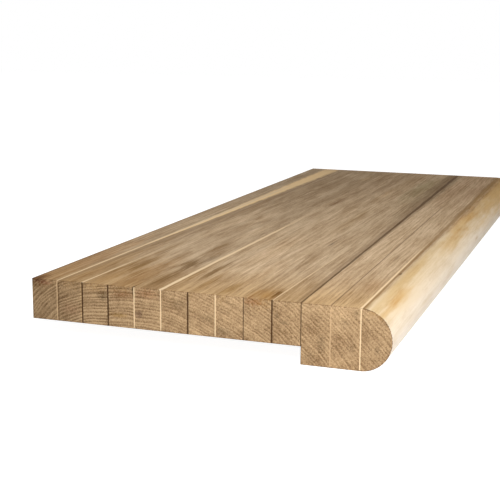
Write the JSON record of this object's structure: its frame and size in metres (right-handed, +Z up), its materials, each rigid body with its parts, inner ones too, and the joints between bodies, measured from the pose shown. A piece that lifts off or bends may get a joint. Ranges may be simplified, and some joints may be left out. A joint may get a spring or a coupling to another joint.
{
  "type": "landing tread",
  "caption": "Solid oak landing tread glued up from long staves: a flat body, a deeper nosing with a half-round front, and a rabbet along the underside behind the nosing.",
  "frame": {"origin": "centre of the footprint, level with the underside of the nosing", "axes": "+X across the tread towards the half-round nose, +Y along the tread, +Z up through the walking face"},
  "size_m": [0.1683, 0.4572, 0.027],
  "materials": {
    "body_oak": "planed and sanded, unfinished oak, grey brown, with open pores",
    "nosing_oak": "planed and sanded, unfinished oak, with open pores",
    "bullnose_oak": "moulded and sanded, unfinished oak, pale sapwood with brown streaks"
  },
  "bodies": {
    "root": {"body_stave_01": "body_oak", "body_stave_02": "body_oak", "body_stave_03": "body_oak", "body_stave_04": "body_oak", "body_stave_05": "body_oak", "body_stave_06": "body_oak", "body_stave_07": "body_oak", "body_stave_08": "body_oak", "body_stave_09": "body_oak", "body_stave_10": "body_oak", "nosing_stave_1": "nosing_oak", "nosing_stave_2": "nosing_oak", "bullnose_stave": "bullnose_oak"}
  },
  "joints": []
}
